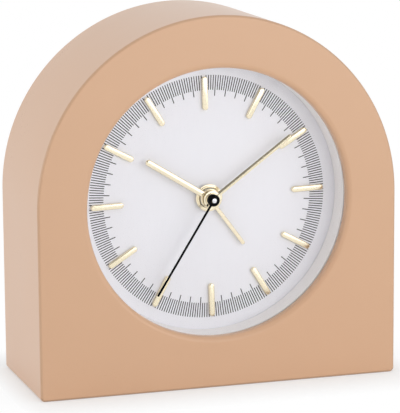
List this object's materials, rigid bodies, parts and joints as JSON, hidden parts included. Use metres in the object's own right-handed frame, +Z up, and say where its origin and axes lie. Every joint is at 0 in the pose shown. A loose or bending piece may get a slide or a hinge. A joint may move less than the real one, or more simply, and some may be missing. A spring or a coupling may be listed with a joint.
{
  "type": "table alarm clock",
  "caption": "Arched table alarm clock with a round sunk dial, baton markers, four centre hands and a battery quartz movement.",
  "frame": {"origin": "centre of the flat base, on the surface the clock stands on", "axes": "+Z up, the dial faces -Y, +X to the right as seen from the front"},
  "size_m": [0.1, 0.04, 0.1005],
  "materials": {
    "lacquer": "satin beige lacquer",
    "crystal": "clear polished",
    "ring": "pale satin",
    "dial": "satin silver",
    "gold": "polished pale gold",
    "black": "satin black",
    "bright": "bright nickel",
    "steel": "plain steel",
    "brass": "plain brass",
    "copper": "lacquered copper wire",
    "back": "fine matt black",
    "ivory": "moulded ivory",
    "white": "moulded white",
    "board": "green solder mask",
    "cell": "plain printed sleeve"
  },
  "bodies": {
    "case": {"case_front": "lacquer", "case_band": "lacquer", "crystal": "crystal", "dial_ring": "ring", "dial_plate": "dial", "hour_marker_01": "gold", "hour_marker_02": "gold", "hour_marker_03": "gold", "hour_marker_04": "gold", "hour_marker_05": "gold", "hour_marker_06": "gold", "hour_marker_07": "gold", "hour_marker_08": "gold", "hour_marker_09": "gold", "hour_marker_10": "gold", "hour_marker_11": "gold", "hour_marker_12": "gold", "movement_plate": "ivory", "movement_tray": "ivory", "stator": "steel", "coil_bobbin": "white", "coil_winding": "copper", "circuit_board": "board", "quartz_can": "bright", "alarm_contact": "brass", "rear_cover": "back", "battery_well": "back", "battery": "cell", "battery_contact_plus": "bright", "battery_contact_minus": "bright", "buzzer": "brass", "rear_cover_screw_1": "steel", "rear_cover_screw_2": "steel", "rear_cover_screw_3": "steel", "rear_cover_screw_4": "steel", "movement_screw_1": "steel", "movement_screw_2": "steel", "movement_screw_3": "steel"},
    "second_arbor": {"second_wheel": "brass", "second_hand": "black", "second_hand_cap": "bright"},
    "rotor_arbor": {"rotor": "steel"},
    "fifth_arbor": {"fifth_wheel": "white"},
    "third_arbor": {"third_wheel": "brass"},
    "minute_pipe": {"centre_wheel": "brass", "minute_hand": "gold"},
    "minute_wheel_arbor": {"minute_wheel": "white"},
    "hour_pipe": {"hour_wheel": "white", "hour_hand": "gold"},
    "time_setting_shaft": {"time_setting_pinion": "white", "time_knob": "back"},
    "alarm_pipe": {"alarm_wheel": "white", "alarm_hand": "gold"},
    "alarm_setting_shaft": {"alarm_setting_pinion": "white", "alarm_knob": "back"},
    "switch_slider": {"alarm_switch": "white"},
    "door": {"battery_door": "back"}
  },
  "joints": [
    {"name": "second_spin", "type": "hinge", "parent": "case", "child": "second_arbor", "pos_m": [0, -0.009, 0.0501], "axis": [0, 1, 0], "continuous": true},
    {"name": "rotor_spin", "type": "hinge", "parent": "case", "child": "rotor_arbor", "pos_m": [0.00643, -0.002, 0.03534], "axis": [0, 1, 0], "continuous": true},
    {"name": "fifth_spin", "type": "hinge", "parent": "case", "child": "fifth_arbor", "pos_m": [0, -0.002, 0.04074], "axis": [0, 1, 0], "continuous": true},
    {"name": "third_spin", "type": "hinge", "parent": "case", "child": "third_arbor", "pos_m": [-0.00314, -0.002, 0.05873], "axis": [0, 1, 0], "continuous": true},
    {"name": "minute_spin", "type": "hinge", "parent": "case", "child": "minute_pipe", "pos_m": [0, -0.009, 0.0501], "axis": [0, 1, 0], "continuous": true},
    {"name": "minute_wheel_spin", "type": "hinge", "parent": "case", "child": "minute_wheel_arbor", "pos_m": [-0.00992, -0.002, 0.0501], "axis": [0, 1, 0], "continuous": true},
    {"name": "hour_spin", "type": "hinge", "parent": "case", "child": "hour_pipe", "pos_m": [0, -0.009, 0.0501], "axis": [0, 1, 0], "continuous": true},
    {"name": "time_setting_spin", "type": "hinge", "parent": "case", "child": "time_setting_shaft", "pos_m": [-0.01982, 0.01, 0.0465], "axis": [0, 1, 0], "continuous": true},
    {"name": "alarm_spin", "type": "hinge", "parent": "case", "child": "alarm_pipe", "pos_m": [0, -0.009, 0.0501], "axis": [0, 1, 0], "continuous": true},
    {"name": "alarm_setting_spin", "type": "hinge", "parent": "case", "child": "alarm_setting_shaft", "pos_m": [0.01142, 0.01, 0.04652], "axis": [0, 1, 0], "continuous": true},
    {"name": "alarm_switch_slide", "type": "slide", "parent": "case", "child": "switch_slider", "axis": [1, 0, 0], "range_m": [0, 0.004]},
    {"name": "battery_door_hinge", "type": "hinge", "parent": "case", "child": "door", "pos_m": [0, 0.0148, 0.0046], "axis": [-1, 0, 0], "range_deg": [0, 90]}
  ],
  "couplings": [
    {"joint": "rotor_spin", "follows": "second_spin", "ratio": 30},
    {"joint": "fifth_spin", "follows": "second_spin", "ratio": -5},
    {"joint": "third_spin", "follows": "second_spin", "ratio": -0.13333},
    {"joint": "minute_spin", "follows": "second_spin", "ratio": 0.016667},
    {"joint": "minute_wheel_spin", "follows": "second_spin", "ratio": -0.0055556},
    {"joint": "hour_spin", "follows": "second_spin", "ratio": 0.0013889},
    {"joint": "time_setting_spin", "follows": "second_spin", "ratio": 0.013333},
    {"joint": "alarm_setting_spin", "follows": "alarm_spin", "ratio": -1.7143}
  ]
}
